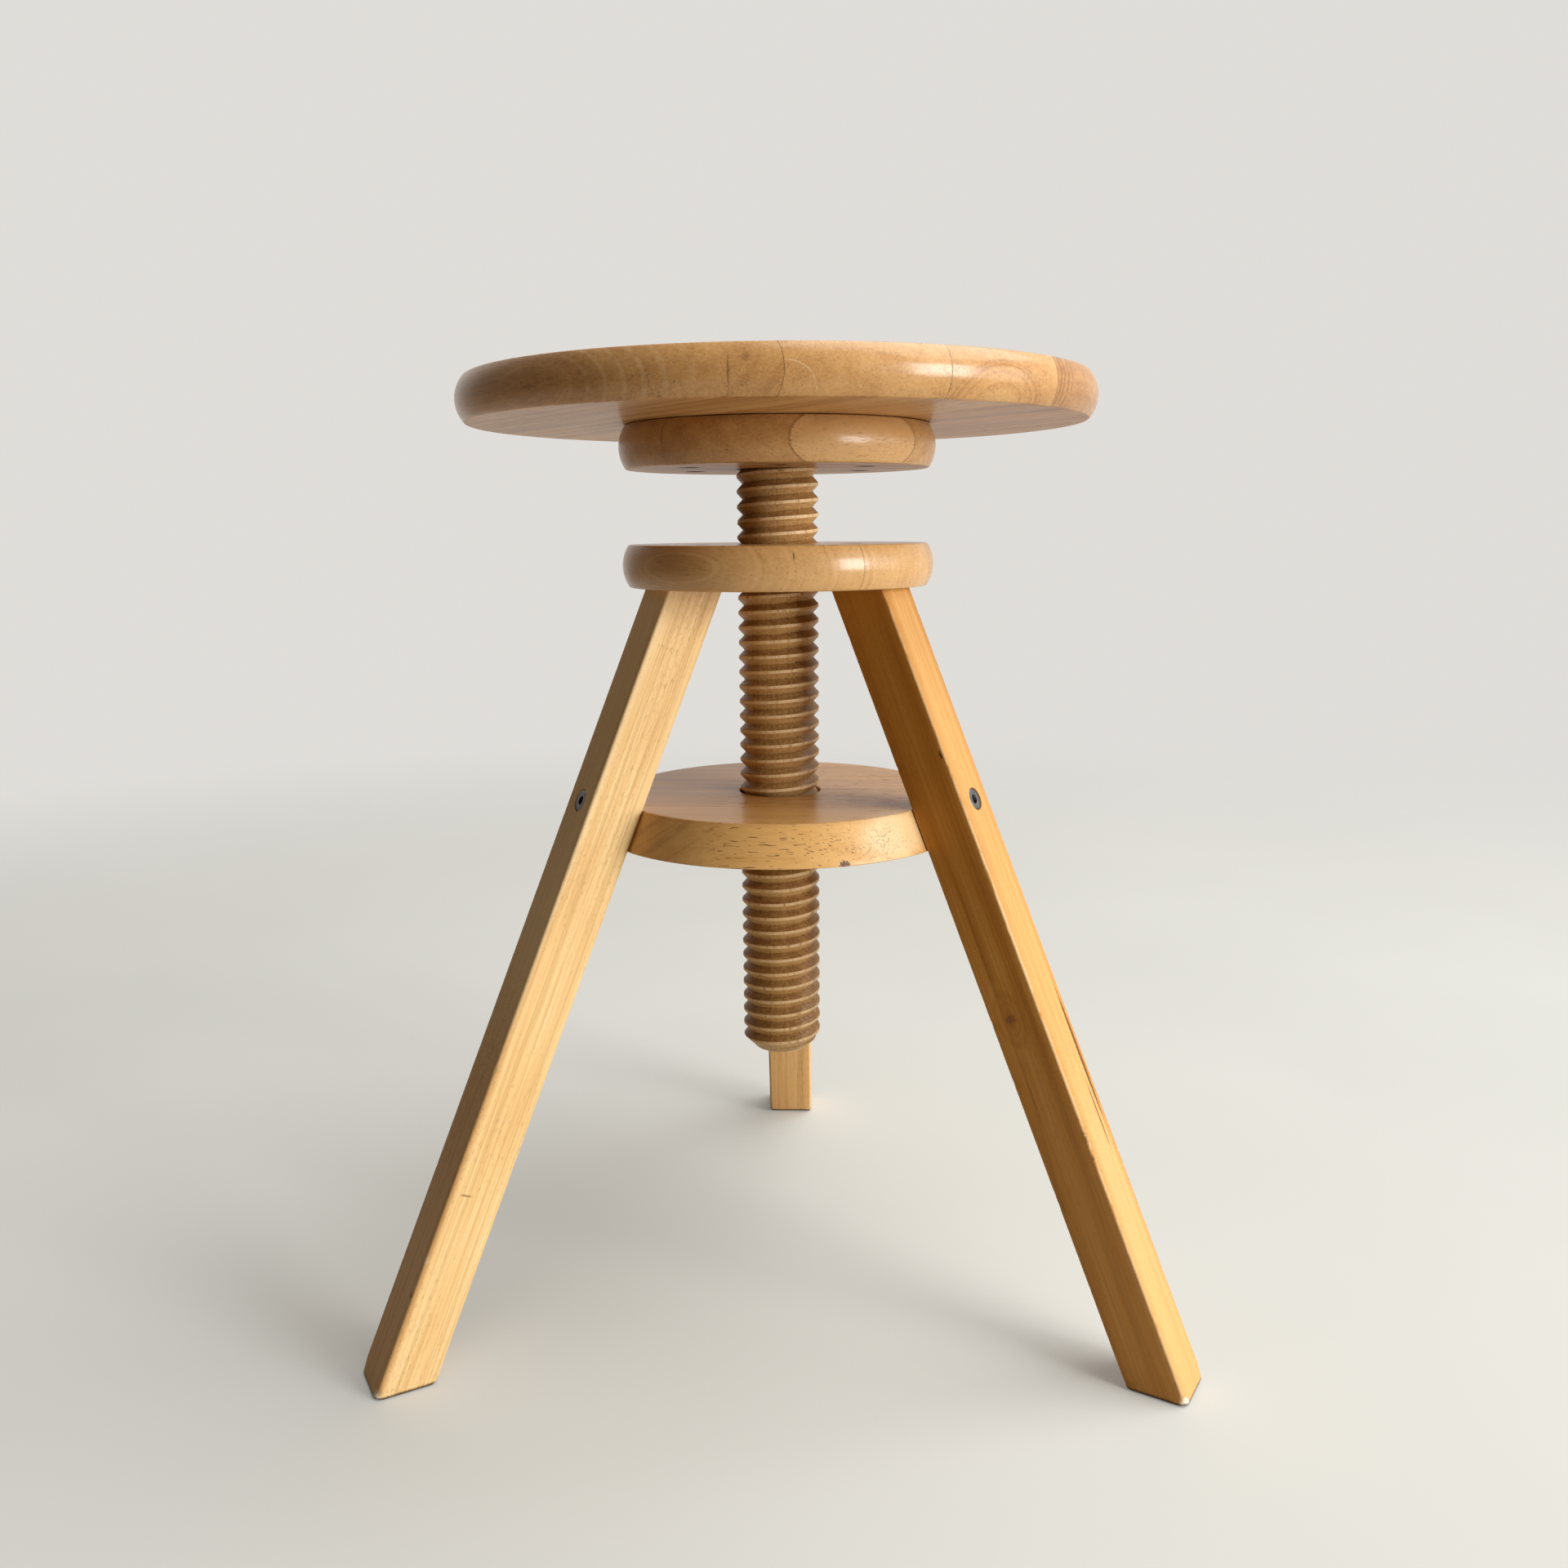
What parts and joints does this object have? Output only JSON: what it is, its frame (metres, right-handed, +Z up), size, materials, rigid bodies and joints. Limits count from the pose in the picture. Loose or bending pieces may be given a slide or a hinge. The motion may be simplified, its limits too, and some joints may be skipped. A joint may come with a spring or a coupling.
{
  "type": "tripod stool",
  "caption": "Round wooden stool on splayed legs; turning the seat screws its threaded wooden spindle up or down through a tapped disc and a guide disc.",
  "frame": {"origin": "on the floor, under the middle of the whole outline", "axes": "+Z up, +Y from the front towards the single back leg, +X to the right as seen from the front; the screw axis is upright at x 0, y -0.0408"},
  "size_m": [0.4592, 0.4314, 0.534],
  "materials": {
    "seat_wood": "satin lacquer",
    "plate_wood": "satin lacquer",
    "nut_wood": "satin lacquer",
    "guide_wood": "satin lacquer",
    "leg_wood": "satin lacquer",
    "spindle_wood": "satin lacquer",
    "bolt_steel": "blackened",
    "screw_steel": "zinc plated"
  },
  "bodies": {
    "base": {"nut_disc": "nut_wood", "guide_disc": "guide_wood", "leg_back": "leg_wood", "leg_left": "leg_wood", "leg_right": "leg_wood", "leg_screw_back": "screw_steel", "leg_screw_left": "screw_steel", "leg_screw_right": "screw_steel", "leg_bolt_back": "bolt_steel", "leg_bolt_left": "bolt_steel", "leg_bolt_right": "bolt_steel", "bolt_insert_back": "screw_steel", "bolt_insert_left": "screw_steel", "bolt_insert_right": "screw_steel"},
    "lift": {"spindle_screw": "screw_steel"},
    "turning_seat": {"seat": "seat_wood", "seat_plate": "plate_wood", "seat_screw_1": "screw_steel", "seat_screw_2": "screw_steel", "seat_screw_3": "screw_steel", "seat_screw_4": "screw_steel", "seat_screw_5": "screw_steel", "seat_screw_6": "screw_steel", "spindle": "spindle_wood"}
  },
  "joints": [
    {"name": "seat_rise", "type": "slide", "parent": "base", "child": "lift", "axis": [0, 0, 1], "range_m": [-0.0408, 0.1272]},
    {"name": "seat_turn", "type": "hinge", "parent": "lift", "child": "turning_seat", "pos_m": [0, -0.04077, 0.4867], "axis": [0, 0, 1], "range_deg": [-1728, 5400]}
  ],
  "couplings": [
    {"joint": "seat_rise", "follows": "seat_turn", "m_per_rad": 0.001348}
  ]
}
